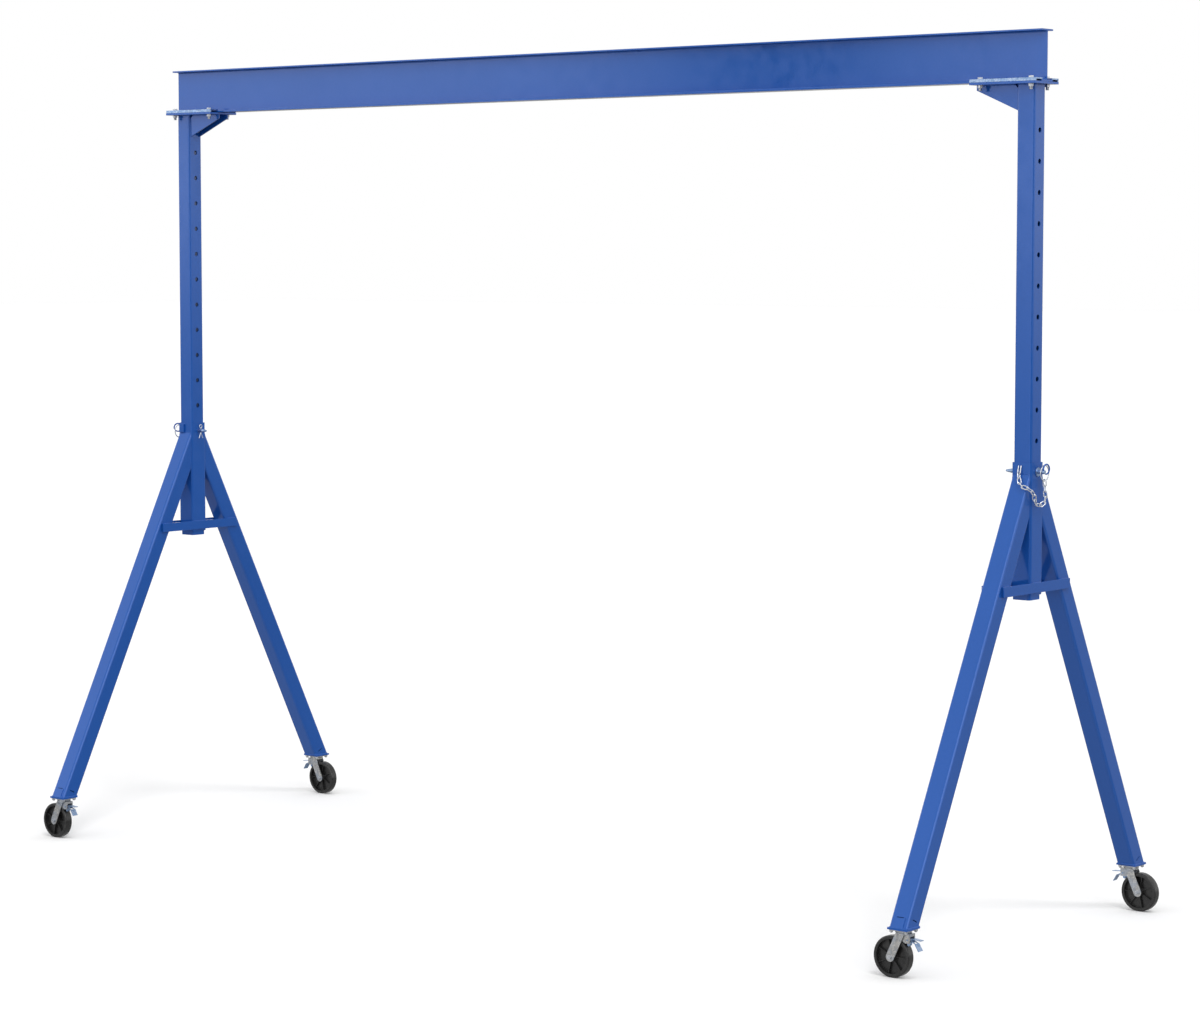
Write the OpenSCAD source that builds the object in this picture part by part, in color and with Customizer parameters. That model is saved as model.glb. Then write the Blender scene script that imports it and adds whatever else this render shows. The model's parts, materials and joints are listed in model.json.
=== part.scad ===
// Portable gantry crane: an I-beam on two height-adjustable A-frames with braked swivel casters.
// Origin: on the floor, under the middle of the beam. +X along the beam, +Z up. Millimetres.
// The crane is the same after half a turn about Z, so the left end is the right end turned round.

/* [Beam] */
// Length of the I-beam
beam_len = 6096; // [3000:1:9000]
// Depth of the I-beam
beam_h = 254; // [200:1:300]
// Width of the beam's flanges
flange_w = 102; // [90:1:120]
// Thickness of the flanges
flange_t = 8.5; // [6:0.5:12]
// Thickness of the web
web_t = 6; // [5:0.5:10]
// Clear height under the beam, in the position drawn
clear_h = 4270; // [3800:1:4400]

/* [Posts and height holes] */
// Width of the square inner post
post_w = 101.6; // [80:0.1:104]
// Wall of the inner post
post_wall = 6; // [4:0.5:8]
// Distance from the beam's end to the post's centre
post_inset = 89; // [80:1:120]
// Distance between height holes
hole_pitch = 152.4; // [100:0.1:160]
// Height holes above the lock pin
holes_above = 11; // [6:1:11]
// Height holes below the lock pin
holes_below = 3; // [1:1:3]

/* [Top bracket] */
// Thickness of the top plate
plate_t = 12; // [8:1:16]
// Width of the top plate across the beam
plate_w = 216; // [200:1:240]
// Length of the top plate along the beam
plate_len = 381; // [340:1:420]
// Height of the gusset plates at the post
gusset_h = 128; // [90:1:180]
// Thickness of a gusset plate and of a flange clamp
gusset_t = 8; // [6:1:10]
// Diameter of the clamp bolts
bolt_d = 16; // [12:1:16]

/* [A-frame] */
// Width of the square outer sleeve
sleeve_w = 114.3; // [112:0.1:120]
// Wall of the sleeve
sleeve_wall = 5; // [4:0.5:6]
// Length of the sleeve
sleeve_len = 657; // [500:1:800]
// Height of the sleeve's top
sleeve_top = 2405; // [2000:1:2500]
// Distance of the lock pin below the sleeve's top
pin_drop = 47; // [40:1:80]
// Width of a square leg
leg_w = 101.6; // [80:0.1:104]
// Wall of a leg
leg_wall = 5; // [4:0.5:6]
// Lean of the legs from upright, in degrees
leg_lean = 26.8; // [20:0.1:30]
// Distance from the beam's line to the middle of a foot plate
foot_y = 1065; // [900:1:1200]
// Height of the cross braces
brace_h = 51; // [40:1:60]
// Length of the cross braces
brace_len = 616; // [580:1:640]

/* [Casters] */
// Diameter of the wheels
wheel_d = 203; // [150:1:203]
// Width of the wheels
wheel_w = 46; // [40:1:50]
// Height of the foot plate's underside
foot_z = 240; // [235:1:250]
// Distance of the axle behind the swivel axis
caster_trail = 56; // [40:1:60]
// Diameter of the axle
axle_d = 12; // [10:1:14]

/* [Lock pin and chain] */
// Diameter of the lock pin
pin_d = 22; // [18:1:24]
// Diameter of the chain wire
chain_wire = 5.5; // [4:0.5:5.5]

/* [Hidden] */
$fn = 48;
run_gap = 0.08;                                  // radial clearance of a pin or shaft in its hole
post_gap = 2;                                    // radial clearance of the lock pin in the post's holes
corner_r = 12.7;                                 // outer corner radius of every square tube
post_x = beam_len / 2 - post_inset;
pin_z = sleeve_top - pin_drop;
post_top = clear_h - plate_t;
post_bottom = sleeve_top - sleeve_len - 25;
sleeve_half = sleeve_w / 2;
plate_out = post_inset;                          // the top plate ends flush with the beam
plate_in = plate_len - plate_out;
clamp_h = flange_t + gusset_t;
clamp_outer = plate_w / 2 - 2;
bolt_y = (flange_w / 2 + clamp_outer - gusset_t) / 2 + 1;
bolt_xs = [-248, 44];
bolt_af = 24;
nut_h = 13;
head_h = 10;
brace_t = 8;
brace_z = sleeve_top - sleeve_len + 11;
foot_t = 10;
foot_size = [112, 114];
stud_d = 10;
stud_off = 42;
caster_plate = 100;
caster_plate_t = 5;
race_r = 40;
crown_top = foot_z - caster_plate_t - 13.5;
crown_t = 6;
kingpin_d = 16;
wheel_r = wheel_d / 2;
fork_in = wheel_w / 2 + 4;
fork_t = 5;
fork_w = 45;
brake_pivot = [38, 193];                         // along the pedal's side, and height
brake_pin_d = 8;
housing_y = 20;
ribs = 7;
neck_r = 10;
link_ring_r = 38.5;
link_ring_x = 84;
pull_ring_r = 24;
pull_ring_x = 95;                                // where the pull ring goes through the neck
// Points where the chain's links meet, from the anchor eye on the sleeve round the leg to the
// ring on the pin's neck, measured from the post's centre
chain_route = [
    [-6.7, -70.3, 2350.7], [2.5, -82.6, 2327.6], [13.7, -93.4, 2304.7], [34.8, -103.3, 2289.6],
    [61, -99, 2281.7], [77.2, -83.4, 2265.8], [77.4, -63, 2247.1], [74.9, -53.4, 2221.2],
    [76.6, -36.5, 2199.3], [83.8, -10.7, 2193], [92.3, 10.4, 2208.6], [95.2, 17.1, 2235.4],
    [91.5, 17.2, 2262.9], [84, 24.3, 2288.7], [84, 24, 2316.4]
];
chain_slack = 2.4;                               // play lengthwise where two links meet
chain_twist = -6.1;                              // twist per link, on top of the quarter turn

SIDES = ["right", "left"];
ENDS = ["front", "rear"];
BEAM_PARTS = ["post", "top_plate", "gussets", "clamps"];
FRAME_PARTS = ["sleeve", "front_leg", "rear_leg", "braces", "foot_plates", "foot_bolts", "pin_keeper",
               "chain_anchor", "chain", "chain_ring", "lock_pin", "pull_ring", "cotter"];
CASTER_PARTS = ["caster_base", "fork", "wheel", "wheel_bush", "axle", "brake_lever"];

// ---- shared shapes ----

module rounded_square(w, r) {
    square([w - 2 * r, w], center = true);
    square([w, w - 2 * r], center = true);
    for (x = [-1, 1], y = [-1, 1])
        translate([x * (w / 2 - r), y * (w / 2 - r)]) circle(r);
}

module square_tube(w, wall, len) {
    linear_extrude(len) difference() {
        rounded_square(w, corner_r);
        rounded_square(w - 2 * wall, corner_r - wall);
    }
}

module hex_bar(af, h) {
    cylinder(d = af / cos(30), h = h, $fn = 6);
}

// A plate in the XZ plane from y = 0 to y = t, from an outline in x and z
module upright_plate(points, t) {
    rotate([90, 0, 0]) translate([0, 0, -t]) linear_extrude(t) polygon(points);
}

// Children along Y instead of Z
module along_y() {
    rotate([-90, 0, 0]) children();
}

// Children along X instead of Z
module along_x() {
    rotate([0, 90, 0]) children();
}

// Children moved from the post's centre line to the right or left end
module at_end(side) {
    rotate(side == "right" ? 0 : 180) translate([post_x, 0, 0]) children();
}

// Which end of the right A-frame stands for this end of the named side
function local_end(side, end) = (side == "right") == (end == "front") ? -1 : 1;

// ---- beam and top brackets ----

module i_beam() {
    fillet = 7;
    color("royalblue")
    translate([-beam_len / 2, 0, clear_h]) rotate([90, 0, 90]) linear_extrude(beam_len) {
        for (z = [0, beam_h - flange_t])
            translate([-flange_w / 2, z]) square([flange_w, flange_t]);
        translate([-web_t / 2, 1]) square([web_t, beam_h - 2]);
        for (y = [-1, 1], top = [0, 1])
            translate([0, top * beam_h]) mirror([0, top]) scale([y, 1]) translate([web_t / 2, flange_t])
                difference() {
                    translate([-1, -1]) square(fillet + 1);
                    translate([fillet, fillet]) circle(fillet);
                }
    }
}

module post() {
    color("royalblue")
    difference() {
        translate([0, 0, post_bottom]) square_tube(post_w, post_wall, post_top - post_bottom);
        for (k = [-holes_below : holes_above])
            translate([-post_w, 0, pin_z + k * hole_pitch])
                along_x() cylinder(d = pin_d + 2 * post_gap, h = 2 * post_w);
    }
}

module top_plate() {
    color("royalblue")
    difference() {
        translate([-plate_in, -plate_w / 2, post_top]) cube([plate_len, plate_w, plate_t]);
        for (x = bolt_xs, y = [-bolt_y, bolt_y])
            translate([x, y, post_top - 1]) cylinder(d = bolt_d, h = plate_t + 2);
    }
}

module gussets() {
    face = -post_w / 2;
    low = post_top - gusset_h;
    tip = 24;
    snipe = 20;
    outline = [
        [face, low], [face, post_top - snipe], [face - snipe, post_top],
        [-plate_in, post_top], [-plate_in, post_top - tip]
    ];
    color("royalblue")
    for (y = [-38, 38 - gusset_t])
        translate([0, y, 0]) upright_plate(outline, gusset_t);
}

// Two angle bars, each with one leg on the plate and one on the flange
module clamps() {
    inner = flange_w / 2 - 8;
    color("lightsteelblue")
    for (side = [0, 1]) mirror([0, side]) difference() {
        translate([-plate_in, 0, clear_h]) {
            translate([0, clamp_outer - gusset_t, 0]) cube([plate_len, gusset_t, clamp_h]);
            translate([0, inner, flange_t]) cube([plate_len, clamp_outer - inner, gusset_t]);
        }
        for (x = bolt_xs)
            translate([x, bolt_y, clear_h]) cylinder(d = bolt_d, h = clamp_h + 1);
    }
}

// A hex bolt down through the clamp and the top plate, with its nut below
module clamp_bolt() {
    tip = 15;
    top = clear_h + clamp_h;
    color("silver") {
        translate([0, 0, top]) hex_bar(bolt_af, head_h);
        translate([0, 0, post_top - nut_h - tip]) cylinder(d = bolt_d, h = top - post_top + nut_h + tip);
        translate([0, 0, post_top - nut_h]) difference() {
            hex_bar(bolt_af, nut_h);
            translate([0, 0, -1]) cylinder(d = bolt_d, h = nut_h + 2);
        }
    }
}

module clamp_bolts() {
    for (side = SIDES) at_end(side)
        for (x = bolt_xs, y = [-bolt_y, bolt_y]) translate([x, y, 0]) clamp_bolt();
}

// ---- A-frame ----

module sleeve() {
    color("royalblue")
    difference() {
        translate([0, 0, sleeve_top - sleeve_len]) square_tube(sleeve_w, sleeve_wall, sleeve_len);
        translate([-sleeve_w, 0, pin_z])
            along_x() cylinder(d = pin_d + 2 * run_gap, h = 2 * sleeve_w);
    }
}

// Children in the frame of the +Y leg: Z up the leg's axis, from the foot plate's underside
module on_leg() {
    translate([0, foot_y, foot_z]) rotate([leg_lean, 0, 0]) children();
}

// The drain slot through the leg's outer wall and the pad on it
module outer_slot() {
    on_leg() translate([-20, leg_w / 2 - 10, 38]) cube([40, 20, 4]);
}

// The leg on the +Y side, leaning in from its foot plate to the sleeve
module leg() {
    reach = 2700;
    slot = [38, 5];
    foot_top = foot_z + foot_t;
    color("royalblue")
    difference() {
        on_leg() translate([0, 0, -100]) square_tube(leg_w, leg_wall, reach);
        translate([-leg_w, foot_y - leg_w * 2, -100]) cube([2 * leg_w, 4 * leg_w, foot_top + 100]);
        translate([-leg_w, -2 * leg_w, sleeve_top - 900])
            cube([2 * leg_w, 2 * leg_w + sleeve_half, 1400]);
        on_leg() translate([-leg_w, -slot[0] / 2, 42]) cube([2 * leg_w, slot[0], slot[1]]);
        outer_slot();
    }
}

// Two flat bars across both legs and the sleeve, with a packer at each leg
module braces() {
    packer = sleeve_half - leg_w / 2;
    packer_len = 66;
    packer_y = brace_len / 2 - packer_len - 4;
    color("royalblue")
    for (x = [0, 1]) mirror([x, 0]) {
        translate([sleeve_half, -brace_len / 2, brace_z]) cube([brace_t, brace_len, brace_h]);
        for (y = [0, 1]) mirror([0, y])
            translate([leg_w / 2, packer_y, brace_z]) cube([packer + 0.5, packer_len, brace_h]);
    }
}

// A plate under each leg, and a pad welded on the leg's outer face just above it
module foot_plates() {
    pad = [60, 3, 64];
    face_y = foot_y + leg_w / 2 / cos(leg_lean);
    color("royalblue")
    for (end = [0, 1]) mirror([0, end]) {
        difference() {
            translate([-foot_size[0] / 2, foot_y - foot_size[1] / 2, foot_z])
                cube([foot_size[0], foot_size[1], foot_t]);
            for (x = [-stud_off, stud_off], y = [-stud_off, stud_off])
                translate([x, foot_y + y, foot_z - 1]) cylinder(d = stud_d, h = 7);
        }
        difference() {
            translate([-pad[0] / 2, face_y, foot_z]) rotate([leg_lean, 0, 0]) cube(pad);
            translate([-pad[0], foot_y, foot_z - 20]) cube([2 * pad[0], 100, foot_t + 20]);
            outer_slot();
        }
    }
}

// Studs in the foot plates, with the nuts that hold the casters
module foot_bolts() {
    nut = 8;
    tip = 4;
    color("silver")
    for (y0 = [-foot_y, foot_y], x = [-stud_off, stud_off], y = [-stud_off, stud_off])
        translate([x, y0 + y, 0]) {
            translate([0, 0, foot_z - caster_plate_t - nut - tip])
                cylinder(d = stud_d, h = caster_plate_t + nut + tip + 5);
            translate([0, 0, foot_z - caster_plate_t - nut]) difference() {
                hex_bar(17, nut);
                translate([0, 0, -1]) cylinder(d = stud_d, h = nut + 2);
            }
        }
}

// A block welded on the sleeve beside the pin's head
module pin_keeper() {
    color("royalblue")
    translate([5, sleeve_half, pin_z - 9.5]) cube([38, 10, 49.5]);
}

// ---- lock pin and chain ----

module lock_pin() {
    tip_x = -123.5;
    taper_x = -92;
    cross_hole_x = -75;
    flange = [58, 63.5];
    neck_end = 101;
    r = pin_d / 2;
    color("silver")
    translate([0, 0, pin_z]) difference() {
        along_x() rotate_extrude() polygon([
            [0, tip_x], [4, tip_x], [5.5, tip_x + 2], [r, taper_x], [r, flange[0]],
            [21.5, flange[0]], [22.5, flange[0] + 1], [22.5, flange[1] - 1], [21.5, flange[1]],
            [neck_r, flange[1]], [neck_r, neck_end - 1], [neck_r - 1, neck_end], [0, neck_end]
        ]);
        translate([cross_hole_x, 0, -pin_d]) cylinder(r = 5.4, h = 2 * pin_d);
    }
}

module ring(r, wire_r) {
    rotate_extrude() translate([r, 0]) circle(wire_r);
}

// The pull ring goes through the pin's neck and leans to one side, turned about Z by the angle given
module pull_ring(turn) {
    color("royalblue")
    translate([pull_ring_x, 0, pin_z + 14]) rotate(-turn) translate([0, 19, 0])
        along_x() ring(pull_ring_r, 4);
}

// A split cotter: an eye on top and two legs spread below the pin
module cotter() {
    wire = 2.2;
    eye_r = 10;
    eye_z = 26;
    waist = wire + 0.2;
    spread = 15;
    reach = 46;
    color("silver")
    translate([-75, 0, pin_z]) {
        translate([0, 0, eye_z]) along_x() ring(eye_r, wire);
        for (s = [-1, 1]) {
            translate([0, s * waist, -14]) cylinder(r = wire, h = 14 + eye_z - eye_r + 0.4);
            translate([0, s * waist, -14]) sphere(wire);
            translate([0, s * waist, -14]) rotate([180 + s * atan((spread - waist) / (reach - 14)), 0, 0])
                cylinder(r = wire, h = (reach - 14) / cos(atan((spread - waist) / (reach - 14))));
        }
    }
}

// The loose ring that hangs on the pin's neck
module chain_ring() {
    color("silver")
    translate([link_ring_x, 24, pin_z - 6.5]) along_x() ring(link_ring_r, 3);
}

// An eye welded to the sleeve's front face, standing off at its foot
module chain_anchor() {
    wire = chain_wire / 2;
    half = 7;
    top = [0, -sleeve_half - wire + 0.5, 2389];
    foot = [0, -68, 2354];
    lean = atan((top[1] - foot[1]) / (top[2] - foot[2]));
    len = norm(top - foot);
    color("silver")
    translate([-7, 0, 0]) translate(foot) rotate([-lean, 0, 0]) {
        for (s = [-1, 1]) translate([s * half, 0, 0]) cylinder(r = wire, h = len);
        rotate([90, 0, 0]) rotate([0, 0, 180]) rotate_extrude(angle = 180) translate([half, 0]) circle(wire);
    }
}

function unit(v) = v / norm(v);
function link_dir(i) = unit(chain_route[i + 1] - chain_route[i]);

// The width direction of link i, a quarter turn and the twist on from the link before
function link_side(i) =
    i == 0 ? unit([0, 1, 0] - link_dir(0) * link_dir(0)[1])
    : let (side = unit(cross(link_dir(i), link_side(i - 1))))
      side * cos(chain_twist) + cross(link_dir(i), side) * sin(chain_twist);

// An oval chain link between two points, with its width along the unit vector across
module link(a, b, across) {
    wire = chain_wire / 2;
    half_w = 9;
    dir = unit(b - a);
    normal = cross(dir, across);
    half_straight = round(50 * (norm(b - a) + chain_wire + chain_slack)) / 100 - half_w;
    mid = (a + b) / 2;
    multmatrix([
        [across[0], dir[0], -normal[0], mid[0]],
        [across[1], dir[1], -normal[1], mid[1]],
        [across[2], dir[2], -normal[2], mid[2]],
        [0, 0, 0, 1]
    ]) {
        for (s = [-1, 1]) {
            translate([s * half_w, -half_straight, 0])
                along_y() cylinder(r = wire, h = 2 * half_straight);
            translate([0, s * half_straight, 0]) rotate(s > 0 ? 0 : 180)
                rotate_extrude(angle = 180) translate([half_w, 0]) circle(wire);
        }
    }
}

module chain() {
    color("silver")
    for (i = [0 : len(chain_route) - 2])
        link(chain_route[i], chain_route[i + 1], link_side(i));
}

// ---- caster, with its swivel axis on the Z axis and its pedal on the +X side ----

// Top plate, upper race and kingpin
module caster_base() {
    race_h = foot_z - caster_plate_t - crown_top - 0.5;
    head_r = 12;
    color("gainsboro")
    difference() {
        union() {
            translate([-caster_plate / 2, -caster_plate / 2, foot_z - caster_plate_t])
                cube([caster_plate, caster_plate, caster_plate_t]);
            translate([0, 0, foot_z - caster_plate_t]) mirror([0, 0, 1]) rotate_extrude()
                polygon([[0, -1], [race_r, -1], [race_r, race_h - 3], [race_r - 3, race_h], [0, race_h]]);
            translate([0, 0, crown_top - crown_t - 1]) cylinder(d = kingpin_d, h = 20);
            translate([0, 0, crown_top - crown_t - 0.5 - 6.5]) rotate_extrude()
                polygon([[0, 0], [head_r - 2, 0], [head_r, 2], [head_r, 6.5], [0, 6.5]]);
        }
        for (x = [-stud_off, stud_off], y = [-stud_off, stud_off])
            translate([x, y, foot_z - caster_plate_t - 1]) cylinder(d = stud_d, h = caster_plate_t + 2);
    }
}

// Outline of one fork cheek: a slanted bar with a round end at the axle
module fork_cheek_outline() {
    rise = crown_top - wheel_r;
    slant = atan(caster_trail / rise);
    difference() {
        translate([-caster_trail, wheel_r]) {
            circle(fork_w / 2);
            rotate(-slant) translate([-fork_w / 2, 0]) square([fork_w, rise / cos(slant) + fork_w]);
        }
        translate([-100, crown_top]) square([200, 100]);
    }
}

module fork() {
    outer = fork_in + fork_t;
    housing_x = [4, 50];
    housing_low = 177;
    skin = 4;
    color("gainsboro")
    difference() {
        union() {
            translate([0, 0, crown_top - crown_t]) cylinder(r = 36, h = crown_t);
            translate([-22, -outer, crown_top - crown_t]) cube([50, 2 * outer, crown_t]);
            for (side = [0, 1]) mirror([0, side])
                translate([0, outer, 0]) rotate([90, 0, 0]) linear_extrude(fork_t) fork_cheek_outline();
            difference() {
                translate([housing_x[0], -housing_y - skin, housing_low])
                    cube([housing_x[1] - housing_x[0], 2 * (housing_y + skin), crown_top - housing_low]);
                translate([0, -housing_y, 0])
                    cube([housing_x[1] - skin, 2 * housing_y, crown_top - crown_t]);
                translate([0, -17, 172]) cube([100, 34, 37]);
            }
        }
        translate([-caster_trail, -100, wheel_r]) along_y() cylinder(d = axle_d, h = 200);
        translate([-caster_trail, -fork_in, wheel_r]) along_y() cylinder(r = wheel_r + 6, h = 2 * fork_in);
        translate([0, 0, crown_top - crown_t - 1]) cylinder(d = kingpin_d + 2 * run_gap, h = crown_t + 2);
        translate([brake_pivot[0], -100, brake_pivot[1]])
            along_y() cylinder(d = brake_pin_d + 2 * run_gap, h = 200);
    }
}

// A one-piece wheel with a deep dish and ribs on both sides
module wheel() {
    rim_in = 84;
    dish = 5;
    hub_r = 24;
    hub_half = wheel_w / 2 + 1;
    bush_r = 14;
    round_r = 7;
    rib_half = 16;
    shoulder = wheel_w / 2 - round_r;
    color("dimgray")
    translate([-caster_trail, 0, wheel_r]) along_y() {
        difference() {
            union() {
                rotate_extrude($fn = 96) {
                    translate([rim_in, -shoulder]) square([wheel_r - rim_in, 2 * shoulder]);
                    translate([rim_in, -wheel_w / 2]) square([wheel_r - round_r - rim_in, wheel_w]);
                    for (s = [-1, 1]) translate([wheel_r - round_r, s * shoulder]) circle(round_r);
                    translate([hub_r - 1, -dish / 2]) square([rim_in - hub_r + 2, dish]);
                    translate([0, -hub_half]) square([hub_r, 2 * hub_half]);
                }
                for (i = [0 : ribs - 1]) rotate(i * 360 / ribs)
                    translate([hub_r - 2, -1.5, -rib_half]) cube([rim_in - hub_r + 4, 3, 2 * rib_half]);
            }
            translate([0, 0, -50]) cylinder(r = bush_r, h = 100);
        }
    }
}

module wheel_bush() {
    half = wheel_w / 2 + 3.4;
    color("tan")
    translate([-caster_trail, 0, wheel_r]) along_y() difference() {
        translate([0, 0, -half]) cylinder(r = 14, h = 2 * half);
        translate([0, 0, -50]) cylinder(d = axle_d + 2 * run_gap, h = 100);
    }
}

// Axle bolt with its head and nut outside the fork
module axle() {
    outer = fork_in + fork_t;
    head = 7.5;
    tip = 4;
    color("silver")
    translate([-caster_trail, 0, wheel_r]) along_y() {
        translate([0, 0, -outer - head]) hex_bar(19, head);
        translate([0, 0, -outer - 1]) cylinder(d = axle_d, h = 2 * outer + head + tip + 1);
        translate([0, 0, outer]) hex_bar(19, head);
    }
}

// A rocker with a release tab on top, a foot pedal below and a shoe that meets the tread
module brake_lever() {
    hub_r = 9;
    half = 15;
    tab = [68, 26, 3];
    pedal_w = 37;
    pedal = [[36, -16], [58, -50], [60.5, -48.4], [38.6, -13.5], [6, 2], [0, -6]];
    shoe = [[-6, -4], [-10, -26], [-4, -32], [4, -28], [6, -4]];
    color("gainsboro")
    translate([brake_pivot[0], 0, brake_pivot[1]]) {
        translate([0, -half, 0]) along_y() cylinder(r = hub_r, h = 2 * half);
        translate([0, -housing_y - 6, 0]) along_y() cylinder(d = brake_pin_d, h = 2 * (housing_y + 6));
        translate([0, -tab[1] / 2, hub_r - 2.5]) rotate([0, 5, 0]) cube(tab);
        translate([0, -half + 1, 0]) upright_plate(pedal, 3);
        translate([0, half - 4, 0]) upright_plate(pedal, 3);
        translate([0, -pedal_w / 2, 0]) upright_plate([for (i = [0 : 3]) pedal[i]], pedal_w);
        translate([0, -10, 0]) upright_plate(shoe, 20);
    }
}

module caster_part(part) {
    if (part == "caster_base") caster_base();
    if (part == "fork") fork();
    if (part == "wheel") wheel();
    if (part == "wheel_bush") wheel_bush();
    if (part == "axle") axle();
    if (part == "brake_lever") brake_lever();
}

module frame_part(part, side) {
    if (part == "post") post();
    if (part == "top_plate") top_plate();
    if (part == "gussets") gussets();
    if (part == "clamps") clamps();
    if (part == "sleeve") sleeve();
    if (part == "front_leg") mirror([0, side == "right" ? 1 : 0]) leg();
    if (part == "rear_leg") mirror([0, side == "right" ? 0 : 1]) leg();
    if (part == "braces") braces();
    if (part == "foot_plates") foot_plates();
    if (part == "foot_bolts") foot_bolts();
    if (part == "pin_keeper") pin_keeper();
    if (part == "chain_anchor") chain_anchor();
    if (part == "chain") chain();
    if (part == "chain_ring") chain_ring();
    if (part == "lock_pin") lock_pin();
    if (part == "pull_ring") pull_ring(side == "right" ? 5 : 44);
    if (part == "cotter") cotter();
}

i_beam();
clamp_bolts();
for (side = SIDES, part = concat(BEAM_PARTS, FRAME_PARTS))
    at_end(side) frame_part(part, side);
for (side = SIDES, end = ENDS, part = CASTER_PARTS)
    at_end(side) translate([0, local_end(side, end) * foot_y, 0])
            rotate(local_end(side, end) < 0 ? 0 : 180) caster_part(part);
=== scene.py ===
"""Looks of the portable gantry crane: camera, studio, materials, and the welds and threads that
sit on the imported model. Everything is in metres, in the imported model's frame."""
import json
import math

import bmesh
import bpy
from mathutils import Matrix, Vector


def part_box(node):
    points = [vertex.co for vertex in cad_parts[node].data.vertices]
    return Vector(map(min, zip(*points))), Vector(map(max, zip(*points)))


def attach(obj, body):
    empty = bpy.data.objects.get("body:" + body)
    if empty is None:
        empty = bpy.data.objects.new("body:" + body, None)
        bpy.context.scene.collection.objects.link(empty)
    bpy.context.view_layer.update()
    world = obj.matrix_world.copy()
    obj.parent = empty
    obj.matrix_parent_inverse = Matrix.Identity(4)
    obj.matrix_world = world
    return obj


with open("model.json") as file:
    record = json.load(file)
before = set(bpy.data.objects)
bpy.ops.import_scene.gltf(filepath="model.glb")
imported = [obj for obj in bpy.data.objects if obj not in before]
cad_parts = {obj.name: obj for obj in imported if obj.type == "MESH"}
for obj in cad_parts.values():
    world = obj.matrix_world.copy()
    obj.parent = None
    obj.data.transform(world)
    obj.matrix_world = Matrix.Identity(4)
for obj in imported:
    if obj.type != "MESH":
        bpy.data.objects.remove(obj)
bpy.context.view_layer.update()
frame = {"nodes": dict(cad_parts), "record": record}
nodes = frame["nodes"]
scene = bpy.context.scene
scene.view_settings.view_transform = "Standard"
MM = 0.001


# ---- shader nodes ----

class Graph:
    """Short ways to add nodes to one node tree."""

    def __init__(self, tree):
        self.tree = tree

    def add(self, kind, **settings):
        node = self.tree.nodes.new(kind)
        for key, value in settings.items():
            setattr(node, key, value)
        return node

    def join(self, value, socket):
        """A link where value is a socket, or a plain setting where it is a number or a colour."""
        if isinstance(value, (int, float)):
            socket.default_value = value
        elif isinstance(value, tuple):
            socket.default_value = (*value, 1) if socket.type == "RGBA" and len(value) == 3 else value
        else:
            self.tree.links.new(value, socket)

    def math(self, operation, a, b=0.0):
        node = self.add("ShaderNodeMath", operation=operation)
        self.join(a, node.inputs[0])
        self.join(b, node.inputs[1])
        return node.outputs[0]

    def ramp(self, value, low, high, a=0.0, b=1.0, kind="LINEAR"):
        """a where value is low or less, b where it is high or more, and a blend between."""
        node = self.add("ShaderNodeMapRange", interpolation_type=kind)
        for name, number in (("From Min", low), ("From Max", high), ("To Min", a), ("To Max", b)):
            self.join(number, node.inputs[name])
        self.join(value, node.inputs["Value"])
        return node.outputs["Result"]

    def dot(self, a, b):
        node = self.add("ShaderNodeVectorMath", operation="DOT_PRODUCT")
        self.join(a, node.inputs[0])
        self.join(b, node.inputs[1])
        return node.outputs["Value"]


class Finish(Graph):
    """The node tree of one material, on its Principled shader."""

    def __init__(self, name):
        self.material = bpy.data.materials.new(name)
        self.material.use_nodes = True
        super().__init__(self.material.node_tree)
        self.shader = self.tree.nodes["Principled BSDF"]
        self.place = self.add("ShaderNodeTexCoord").outputs["Object"]

    def stretched(self, scale):
        mapping = self.add("ShaderNodeMapping")
        self.join(scale, mapping.inputs["Scale"])
        self.join(self.place, mapping.inputs["Vector"])
        return mapping.outputs[0]

    def noise(self, scale, detail=3.0, rough=0.5, place=None):
        node = self.add("ShaderNodeTexNoise")
        self.join(place or self.place, node.inputs["Vector"])
        for name, number in (("Scale", scale), ("Detail", detail), ("Roughness", rough)):
            self.join(number, node.inputs[name])
        return node.outputs["Fac"]

    def cells(self, scale):
        node = self.add("ShaderNodeTexVoronoi")
        self.join(self.place, node.inputs["Vector"])
        self.join(scale, node.inputs["Scale"])
        return node.outputs["Color"]

    def mix(self, share, a, b):
        """Colour a where share is 0, colour b where it is 1."""
        node = self.add("ShaderNodeMix", data_type="RGBA")
        self.join(share, node.inputs[0])
        self.join(a, node.inputs[6])
        self.join(b, node.inputs[7])
        return node.outputs[2]

    def edges(self, radius):
        """1 on edges and in corners narrower than radius, 0 on flat faces."""
        bevel = self.add("ShaderNodeBevel", samples=4)
        self.join(radius, bevel.inputs["Radius"])
        normal = self.add("ShaderNodeNewGeometry").outputs["Normal"]
        return self.ramp(self.dot(bevel.outputs[0], normal), 0.995, 0.90)

    def bump(self, height, distance, strength, normal=None):
        node = self.add("ShaderNodeBump")
        self.join(strength, node.inputs["Strength"])
        self.join(distance, node.inputs["Distance"])
        self.join(height, node.inputs["Height"])
        if normal is not None:
            self.join(normal, node.inputs["Normal"])
        return node.outputs[0]

    def set(self, **values):
        for name, value in values.items():
            self.join(value, self.shader.inputs[name.replace("_", " ")])
        return self.material


# ---- camera and studio ----

CAMERA_PLACE = (11.571, -13.938, 3.4446)
CAMERA_DOWN, CAMERA_TURN = 4.422, 39.424         # degrees below level, and round from +Y
LENS, SHIFT = 98.79, 0.0146

# Brightness of the walls, of the dome overhead, and of the walls behind the crane as a share
WALL, DOME = 1.85, 0.85
REAR_SIDE, REAR = 0.80, 0.62
# Brightness of the floor as the paint reflects it: in front, to the sides and straight down
FLOOR_NEAR, FLOOR_FAR, FLOOR_DOWN = 0.80, 0.34, 0.55
HORIZON_LOW, HORIZON_HIGH = -0.05, 0.02
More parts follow.
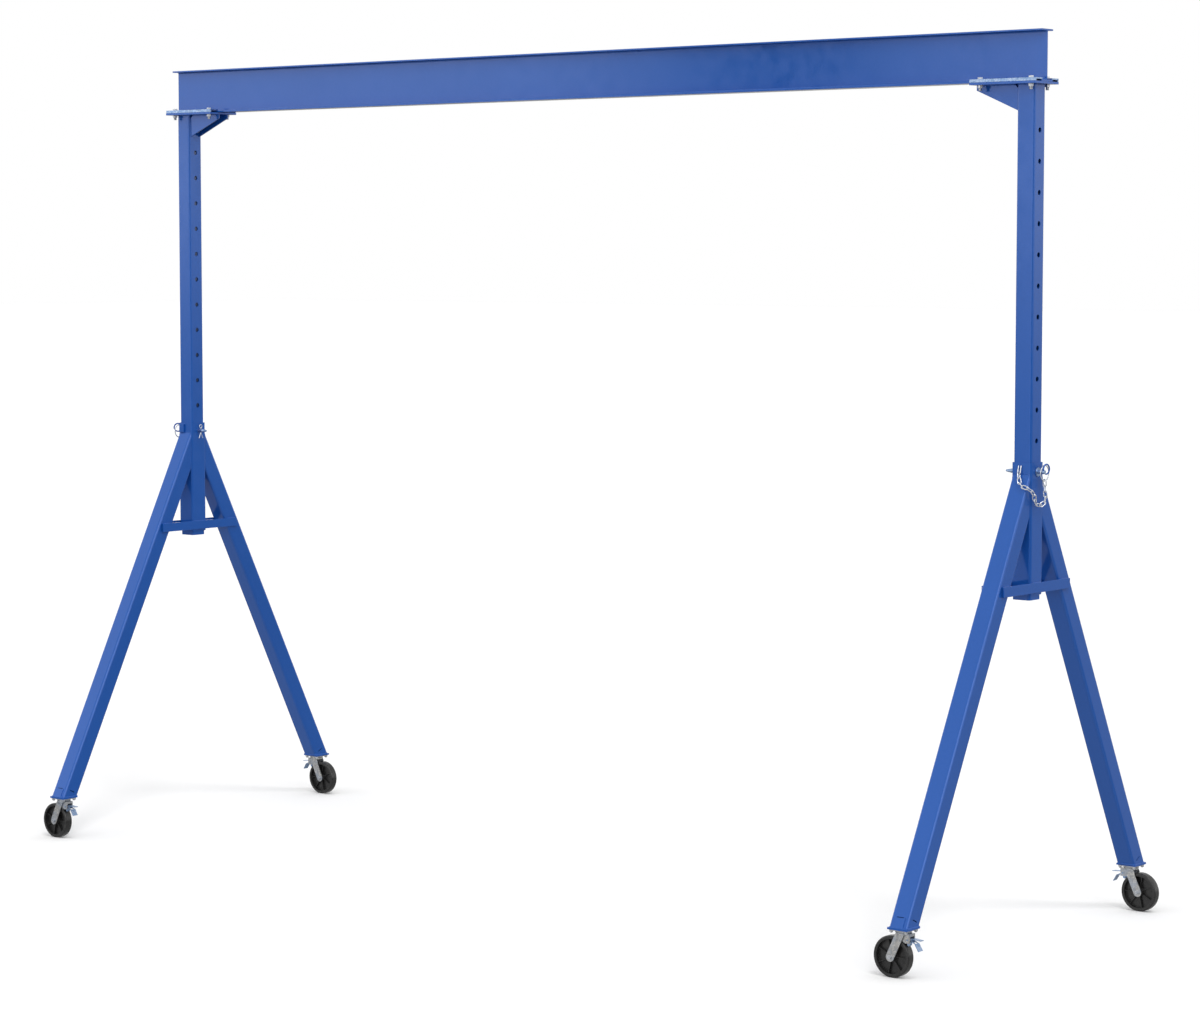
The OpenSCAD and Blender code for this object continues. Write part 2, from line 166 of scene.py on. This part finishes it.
# The dark gap between two light panels: its turn from -Y in degrees, its half widths and its depth
GAP, GAP_IN, GAP_OUT, GAP_DEPTH = 36.1, 0.020, 0.038, 1.0
# The dim corner of the studio, seen in the rounded corners of the tubes
CORNER_WAY, CORNER_DARK = (0.707, -0.707, 0.0), 0.8
# The small bright panel, seen in the upper corners of the legs
HIGH_PANEL, PANEL_LIGHT = (0.72, -0.44, 0.53), 2.2

KEY_POWER, KEY_SOFTNESS, KEY_WAY = 0.6, 12, (-0.45, 0.2, -1.0)
FLOOR_REACH = 150.0


def make_camera():
    data = bpy.data.cameras.new("camera")
    data.sensor_width = 36.0
    data.lens = LENS
    data.shift_x = SHIFT
    data.clip_end = 400.0
    camera = bpy.data.objects.new("camera", data)
    camera.location = CAMERA_PLACE
    camera.rotation_euler = (math.radians(90 - CAMERA_DOWN), 0.0, math.radians(CAMERA_TURN))
    scene.collection.objects.link(camera)
    scene.camera = camera


def make_world():
    """A white studio: bright walls above the horizon, a dimmer floor, a soft dome overhead, the
    dark gap between two of its light panels, and one small bright panel high on the right."""
    world = bpy.data.worlds.new("studio")
    scene.world = world
    world.use_nodes = True
    g = Graph(world.node_tree)
    g.tree.nodes.clear()
    way = g.add("ShaderNodeTexCoord").outputs["Generated"]
    split = g.add("ShaderNodeSeparateXYZ")
    g.join(way, split.inputs[0])
    x, y, z = split.outputs

    walls = g.ramp(z, 0.05, 0.7, WALL, DOME, "SMOOTHSTEP")
    floor = g.ramp(g.math("ABSOLUTE", x), 0.50, 0.74, FLOOR_NEAR, FLOOR_FAR)
    floor = g.ramp(z, -0.6, -0.3, FLOOR_DOWN, floor)
    level = g.ramp(z, HORIZON_LOW, HORIZON_HIGH, 0.0, 1.0, "SMOOTHSTEP")
    light = g.math("ADD", g.math("MULTIPLY", walls, level),
                   g.math("MULTIPLY", floor, g.math("SUBTRACT", 1.0, level)))
    rear = g.ramp(y, 0.65, 0.90, REAR_SIDE, REAR)
    light = g.math("MULTIPLY", light, g.ramp(y, -0.1, 0.1, 1.0, rear, "SMOOTHSTEP"))

    low = g.ramp(z, 0.15, 0.40, 1.0, 0.0, "SMOOTHSTEP")
    turn = math.radians(GAP)
    across = g.dot(way, (-math.cos(turn), math.sin(turn), 0.0))
    ahead = g.ramp(g.dot(way, (-math.sin(turn), -math.cos(turn), 0.0)), 0.0, 0.1)
    gap = g.ramp(g.math("ABSOLUTE", across), GAP_IN, GAP_OUT, GAP_DEPTH, 0.0, "SMOOTHSTEP")
    gap = g.math("MULTIPLY", g.math("MULTIPLY", gap, ahead), low)
    corner = g.ramp(g.dot(way, CORNER_WAY), 0.88, 0.97, 0.0, CORNER_DARK, "SMOOTHSTEP")
    corner = g.math("MULTIPLY", corner, low)
    light = g.math("MULTIPLY", light, g.math("SUBTRACT", 1.0, gap))
    light = g.math("MULTIPLY", light, g.math("SUBTRACT", 1.0, corner))
    panel = g.ramp(g.dot(way, HIGH_PANEL), 0.955, 0.985, 0.0, PANEL_LIGHT, "SMOOTHSTEP")
    light = g.math("ADD", light, panel)

    studio = g.add("ShaderNodeBackground")
    g.join((1.0, 1.0, 1.0), studio.inputs["Color"])
    g.join(light, studio.inputs["Strength"])
    backdrop = g.add("ShaderNodeBackground")
    g.join((1.0, 1.0, 1.0), backdrop.inputs["Color"])
    choose = g.add("ShaderNodeMixShader")
    g.join(g.add("ShaderNodeLightPath").outputs["Is Camera Ray"], choose.inputs[0])
    g.join(studio.outputs[0], choose.inputs[1])
    g.join(backdrop.outputs[0], choose.inputs[2])
    g.join(choose.outputs[0], g.add("ShaderNodeOutputWorld").inputs["Surface"])


def make_lights():
    data = bpy.data.lights.new("key", "SUN")
    data.energy = KEY_POWER
    data.angle = math.radians(KEY_SOFTNESS)
    key = bpy.data.objects.new("key", data)
    key.rotation_euler = Vector(KEY_WAY).to_track_quat("-Z", "Y").to_euler()
    scene.collection.objects.link(key)


def make_floor():
    reach = FLOOR_REACH
    corners = [(-reach, -reach, 0), (reach, -reach, 0), (reach, reach, 0), (-reach, reach, 0)]
    mesh = bpy.data.meshes.new("floor")
    mesh.from_pydata(corners, [], [(0, 1, 2, 3)])
    floor = bpy.data.objects.new("floor", mesh)
    floor.visible_glossy = False
    floor.visible_diffuse = False
    scene.collection.objects.link(floor)
    g = Finish("floor")
    tone = g.mix(g.noise(0.4, 3), (0.96, 0.96, 0.96), (0.98, 0.98, 0.98))
    mesh.materials.append(g.set(Base_Color=tone, Roughness=0.95, Specular_IOR_Level=0.0))


# ---- materials ----

def blue_paint():
    g = Finish("blue_paint")
    base = g.mix(g.ramp(g.noise(1.3, 4), 0.35, 0.65), (0.0095, 0.088, 0.385), (0.0115, 0.094, 0.405))
    base = g.mix(g.ramp(g.noise(70, 3), 0.4, 0.6, 0.0, 0.3), base, (0.014, 0.098, 0.42))
    chips = g.math("MULTIPLY", g.edges(0.002), g.ramp(g.noise(60, 4), 0.56, 0.66, 0.0, 0.45))
    base = g.mix(chips, base, (0.10, 0.16, 0.34))
    rough = g.ramp(g.noise(11, 4), 0.3, 0.7, 0.10, 0.17)
    normal = g.bump(g.noise(260, 2), 0.0002, 0.10)
    normal = g.bump(g.noise(34, 5, 0.6, g.stretched((1, 1, 0.1))), 0.0002, 0.04, normal)
    return g.set(Base_Color=base, Roughness=rough, Metallic=0.12, Normal=normal)


def zinc(name, light, dark, painted_blue_reflection, blue_reflection_share, rough_low, rough_high, grain):
    g = Finish(name)
    base = g.mix(g.ramp(g.cells(grain), 0.2, 0.8), light, dark)
    # Painted blue reflection: a blue colour mixed into the base in noise patches, standing in for the blue
    # frame reflected in the zinc
    base = g.mix(g.ramp(g.noise(24, 4), 0.42, 0.62, 0.0, blue_reflection_share), base, painted_blue_reflection)
    dirt = g.math("MULTIPLY", g.edges(0.0015), g.ramp(g.noise(90, 3), 0.45, 0.6, 0.0, 0.5))
    base = g.mix(dirt, base, tuple(0.45 * v for v in dark))
    rough = g.ramp(g.noise(40, 4), 0.3, 0.7, rough_low, rough_high)
    normal = g.bump(g.noise(500, 3), 0.0002, 0.15)
    return g.set(Base_Color=base, Metallic=0.85, Roughness=rough, Normal=normal)


def wheel_black():
    g = Finish("wheel_nylon")
    base = g.mix(g.ramp(g.noise(700, 3), 0.45, 0.62), (0.010, 0.010, 0.010), (0.027, 0.027, 0.028))
    base = g.mix(g.ramp(g.noise(26, 5, 0.6), 0.54, 0.70, 0.0, 0.35), base, (0.055, 0.052, 0.048))
    rough = g.ramp(g.noise(35, 4), 0.3, 0.7, 0.22, 0.36)
    return g.set(Base_Color=base, Roughness=rough, Normal=g.bump(g.noise(240, 3), 0.0003, 0.12))


def bronze():
    g = Finish("bronze_bush")
    base = g.mix(g.ramp(g.noise(300, 3), 0.4, 0.6), (0.40, 0.27, 0.13), (0.26, 0.17, 0.09))
    rough = g.ramp(g.noise(80, 3), 0.3, 0.7, 0.28, 0.45)
    normal = g.bump(g.noise(600, 2), 0.0002, 0.2)
    return g.set(Base_Color=base, Metallic=0.9, Roughness=rough, Normal=normal)


MATERIALS = {
    "blue_paint": blue_paint(),
    # In each zinc the fourth colour is a painted blue reflection, and the number after it is how much of it
    # is mixed in
    "bright_zinc": zinc("bright_zinc", (0.38, 0.48, 0.66), (0.20, 0.31, 0.50), (0.22, 0.36, 0.64), 0.45,
                        0.22, 0.36, 90),
    "zinc_fastener": zinc("zinc_fastener", (0.64, 0.65, 0.67), (0.42, 0.44, 0.48), (0.44, 0.50, 0.60), 0.35,
                          0.25, 0.42, 160),
    "chain_zinc": zinc("chain_zinc", (0.84, 0.85, 0.86), (0.58, 0.61, 0.65), (0.62, 0.70, 0.82), 0.3,
                       0.18, 0.32, 220),
    "caster_zinc": zinc("caster_zinc", (0.56, 0.55, 0.53), (0.36, 0.37, 0.38), (0.30, 0.38, 0.52), 0.40,
                        0.24, 0.40, 120),
    "wheel_nylon": wheel_black(),
    "bronze_bush": bronze(),
}
SLOT_OF = {part["node"]: part["material_slot"] for part in frame["record"]["subparts"]}

# Width in millimetres of the rounded edge on plates, bars and pressed parts
EDGE = {
    "i_beam": 1.4, "top_plate": 1.0, "gussets": 1.0, "clamps": 1.0, "braces": 1.0, "foot_plates": 0.8,
    "pin_keeper": 1.0, "clamp_bolts": 0.7, "foot_bolts": 0.5, "axle": 0.8, "caster_base": 0.6,
    "fork": 0.7, "brake_lever": 0.5, "wheel": 0.8,
}


def dress_nodes():
    for name, node in nodes.items():
        node.data.materials.clear()
        node.data.materials.append(MATERIALS[SLOT_OF[name]])
        width = max((w for part, w in EDGE.items() if name.endswith(part)), default=0)
        if width:
            node.modifiers.new("join", "WELD").merge_threshold = 1e-5
            bevel = node.modifiers.new("edge", "BEVEL")
            bevel.width = width * MM
            bevel.segments = 2
            bevel.limit_method = "ANGLE"
            bevel.angle_limit = math.radians(40)


# ---- mesh helpers ----

BEAD_STEP = 0.0022                               # between the rings of a weld bead


class Shape:
    """One mesh made of swept tubes and threads."""

    def __init__(self):
        self.bm = bmesh.new()

    def sweep(self, points, radii, sides=8, closed=False):
        """A tube through the points, with that radius at each, closed on itself or capped."""
        count = len(points)
        side = None
        rings = []
        for i, point in enumerate(points):
            before = points[(i - 1) % count] if closed or i else point
            after = points[(i + 1) % count] if closed or i < count - 1 else point
            along = (after - before).normalized()
            if side is None:
                side = along.orthogonal().normalized()
            else:
                side = (side - along * side.dot(along)).normalized()
            third = along.cross(side)
            ring = []
            for k in range(sides):
                angle = 2 * math.pi * k / sides
                offset = side * math.cos(angle) + third * math.sin(angle)
                ring.append(self.bm.verts.new(point + offset * radii[i]))
            rings.append(ring)
        last = count if closed else count - 1
        for i in range(last):
            a, b = rings[i], rings[(i + 1) % count]
            for k in range(sides):
                j = (k + 1) % sides
                self.bm.faces.new((a[k], a[j], b[j], b[k]))
        if not closed:
            self.bm.faces.new(rings[0][::-1])
            self.bm.faces.new(rings[-1])

    def bead(self, corners, radius, closed=False, seed=0.0):
        """A weld bead with even ripples along the corners, tapered at its ends."""
        points = []
        following = corners[1:] + corners[:1] if closed else corners[1:]
        for a, b in zip(corners, following):
            pieces = max(1, round((b - a).length / BEAD_STEP))
            points += [a.lerp(b, k / pieces) for k in range(pieces)]
        if not closed:
            points.append(corners[-1])
        radii = []
        for i in range(len(points)):
            ripple = 1 + 0.13 * abs(math.sin(i * 0.72 + seed)) + 0.06 * math.sin(i * 0.17 + 3 * seed)
            edge = 1.0 if closed else min(1.0, 0.45 + 0.2 * min(i, len(points) - 1 - i))
            radii.append(radius * ripple * edge)
        self.sweep(points, radii, closed=closed)

    def thread(self, start, axis, radius, length, pitch):
        """A screw thread round a shank: ridges that climb one pitch each turn."""
        around, per_pitch = 20, 5
        depth = 0.32 * pitch
        rows = round(length / pitch * per_pitch)
        side = axis.orthogonal().normalized()
        third = axis.cross(side)
        rings = []
        for i in range(rows + 1):
            ring = []
            for k in range(around):
                angle = 2 * math.pi * k / around
                phase = (i / per_pitch - k / around) % 1.0
                height = depth * (1 - abs(2 * phase - 1))
                fade = min(1.0, i / per_pitch, (rows - i) / per_pitch)
                r = radius + 0.00002 + height * fade
                ring.append(self.bm.verts.new(start + axis * (length * i / rows)
                                              + (side * math.cos(angle) + third * math.sin(angle)) * r))
            rings.append(ring)
        for a, b in zip(rings, rings[1:]):
            for k in range(around):
                j = (k + 1) % around
                self.bm.faces.new((a[k], a[j], b[j], b[k]))
        self.bm.faces.new(rings[0][::-1])
        self.bm.faces.new(rings[-1])

    def finish(self, name, body, slot):
        mesh = bpy.data.meshes.new(name)
        bmesh.ops.recalc_face_normals(self.bm, faces=self.bm.faces)
        self.bm.to_mesh(mesh)
        self.bm.free()
        for polygon in mesh.polygons:
            polygon.use_smooth = True
        mesh.materials.append(MATERIALS[slot])
        piece = bpy.data.objects.new(name, mesh)
        scene.collection.objects.link(piece)
        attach(piece, body)
        return piece


# ---- welds and threads ----

def middle(node):
    low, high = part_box(node)
    return (low + high) / 2, (high - low) / 2


def rounded_loop(half_a, half_b, radius_a, radius_b, steps=5):
    """Corners of a rounded rectangle, anticlockwise, as (a, b) pairs."""
    loop = []
    for corner in range(4):
        sign_a = (1, -1, -1, 1)[corner]
        sign_b = (1, 1, -1, -1)[corner]
        for k in range(steps + 1):
            angle = math.pi / 2 * (corner + k / steps)
            loop.append((sign_a * (half_a - radius_a) + radius_a * math.cos(angle),
                         sign_b * (half_b - radius_b) + radius_b * math.sin(angle)))
    return loop


# Radii of the weld beads, in millimetres
LEG_TOP_BEAD, FOOT_BEAD, BRACE_BEAD, PACKER_BEAD = 2.4, 3.5, 2.6, 2.2
KEEPER_BEAD, ANCHOR_BEAD = 2, 3
POST_BEAD, GUSSET_BEAD, GUSSET_TOP_BEAD = 3.5, 3, 2.8

# Where the beads run, in millimetres
BRACE_RUN = 40                                   # each way from the middle of the sleeve
PACKER_START, PACKER_END = 66, 6                 # from the brace's end, at each leg
ANCHOR_RUN, ANCHOR_INSET = 14, 2.5               # down from the anchor's top, in from its edges
GUSSET_CLEAR_DOWN, GUSSET_CLEAR_OUT = 20, 22     # the gusset's inner corner, left unwelded
GUSSET_CLEAR_TIP = 2                             # short of the gusset's outer tips
PROUD, SLIGHTLY_PROUD = 1, 0.5                   # outside the face that a bead lies on

# Radius, length and pitch of the threads that show, and the start above the tip, in millimetres
CLAMP_THREAD, CLAMP_TIP = (8, 14, 2), 0.5
STUD_THREAD, STUD_TIP = (5, 3.6, 1.25), 0.2

# Middles and half sizes of the parts that the welds follow
POST, POST_HALF = middle("right_post")
SLEEVE_HALF = middle("right_sleeve")[1]
LEG_HALF = middle("right_rear_leg")[1].x
PLATE, PLATE_HALF = middle("right_top_plate")
BRACE, BRACE_HALF = middle("right_braces")
CORNER = 12.7 * MM                               # outer corner radius of the square tubes
LEG_LEAN = math.radians(26.8)                    # lean of the legs from upright


def placer(side):
    """Turns a point measured from the post's centre line at the right end into a point at that end."""
    turn = 1 if side == "right" else -1
    return lambda x, y, z: Vector((turn * (POST.x + x), turn * y, z))


def frame_welds(side):
    p = placer(side)
    shape = Shape()
    low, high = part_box("right_rear_leg")
    run = math.tan(LEG_LEAN)
    face = SLEEVE_HALF.y
    tall = LEG_HALF / math.sin(LEG_LEAN)
    top = high.z - tall
    foot_mid = face + (top - low.z) * run
    for s in (-1, 1):
        ring = rounded_loop(LEG_HALF, tall, CORNER, CORNER / math.sin(LEG_LEAN))
        shape.bead([p(a, s * face, top + b) for a, b in ring], LEG_TOP_BEAD * MM, True, s)
        ring = rounded_loop(LEG_HALF, LEG_HALF / math.cos(LEG_LEAN), CORNER, CORNER / math.cos(LEG_LEAN))
        shape.bead([p(a, s * (foot_mid + b), low.z) for a, b in ring], FOOT_BEAD * MM, True, 2 * s)
        for t in (-1, 1):
            for z in (BRACE.z - BRACE_HALF.z, BRACE.z + BRACE_HALF.z):
                x = s * (SLEEVE_HALF.x + PROUD * MM)
                ends = [p(x, -BRACE_RUN * MM, z), p(x, BRACE_RUN * MM, z)]
                shape.bead(ends, BRACE_BEAD * MM, False, t + z)
                inner = BRACE_HALF.y - PACKER_START * MM
                outer = BRACE_HALF.y - PACKER_END * MM
                x = s * (LEG_HALF + PROUD * MM)
                ends = [p(x, t * inner, z), p(x, t * outer, z)]
                shape.bead(ends, PACKER_BEAD * MM, False, t - z)
    low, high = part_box(side + "_pin_keeper")
    turn = 1 if side == "right" else -1
    root = turn * SLEEVE_HALF.y
    for z in (low.z, high.z):
        ends = [Vector((low.x, root, z)), Vector((high.x, root, z))]
        shape.bead(ends, KEEPER_BEAD * MM, False, z)
    low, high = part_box(side + "_chain_anchor")
    root = -turn * (SLEEVE_HALF.y + SLIGHTLY_PROUD * MM)
    for x in (low.x + ANCHOR_INSET * MM, high.x - ANCHOR_INSET * MM):
        ends = [Vector((x, root, high.z - ANCHOR_RUN * MM)), Vector((x, root, high.z))]
        shape.bead(ends, ANCHOR_BEAD * MM, False, x)
    shape.finish(side + "_frame_welds", side + "_frame", "blue_paint")


def bracket_welds(side):
    p = placer(side)
    shape = Shape()
    under = PLATE.z - PLATE_HALF.z
    ring = rounded_loop(POST_HALF.x, POST_HALF.y, CORNER, CORNER)
    shape.bead([p(a, b, under) for a, b in ring], POST_BEAD * MM, True)
    low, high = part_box("right_gussets")
    for s in (-1, 1):
        y = s * (high.y + SLIGHTLY_PROUD * MM)
        x = -POST_HALF.x
        ends = [p(x, y, low.z + GUSSET_CLEAR_TIP * MM), p(x, y, high.z - GUSSET_CLEAR_DOWN * MM)]
        shape.bead(ends, GUSSET_BEAD * MM, False, s)
        tip = low.x - POST.x + GUSSET_CLEAR_TIP * MM
        ends = [p(x - GUSSET_CLEAR_OUT * MM, y, under), p(tip, y, under)]
        shape.bead(ends, GUSSET_TOP_BEAD * MM, False, s)
    shape.finish(side + "_bracket_welds", "beam", "blue_paint")


def solid_islands(node):
    """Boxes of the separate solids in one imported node, as (low, high) pairs."""
    bm = bmesh.new()
    bm.from_mesh(nodes[node].data)
    bmesh.ops.remove_doubles(bm, verts=bm.verts, dist=1e-5)
    boxes, seen = [], set()
    for start in bm.verts:
        if start in seen:
            continue
        group, queue = [], [start]
        seen.add(start)
        while queue:
            v = queue.pop()
            group.append(v.co.copy())
            for edge in v.link_edges:
                other = edge.other_vert(v)
                if other not in seen:
                    seen.add(other)
                    queue.append(other)
        boxes.append(tuple(Vector(f(c[i] for c in group) for i in range(3)) for f in (min, max)))
    bm.free()
    return boxes


def add_threads(shape, bolts, thread, tip):
    """One thread on the lower tip of each bolt in the node."""
    radius, length, pitch = (size * MM for size in thread)
    for low, high in solid_islands(bolts):
        start = Vector(((low.x + high.x) / 2, (low.y + high.y) / 2, low.z + tip * MM))
        shape.thread(start, Vector((0, 0, 1)), radius, length, pitch)


def threads():
    shape = Shape()
    add_threads(shape, "clamp_bolts", CLAMP_THREAD, CLAMP_TIP)
    shape.finish("clamp_bolt_threads", "beam", "zinc_fastener")
    for side in ("right", "left"):
        shape = Shape()
        add_threads(shape, side + "_foot_bolts", STUD_THREAD, STUD_TIP)
        shape.finish(side + "_foot_bolt_threads", side + "_frame", "zinc_fastener")


make_camera()
make_world()
make_lights()
make_floor()
dress_nodes()
for side in ("right", "left"):
    frame_welds(side)
    bracket_welds(side)
threads()
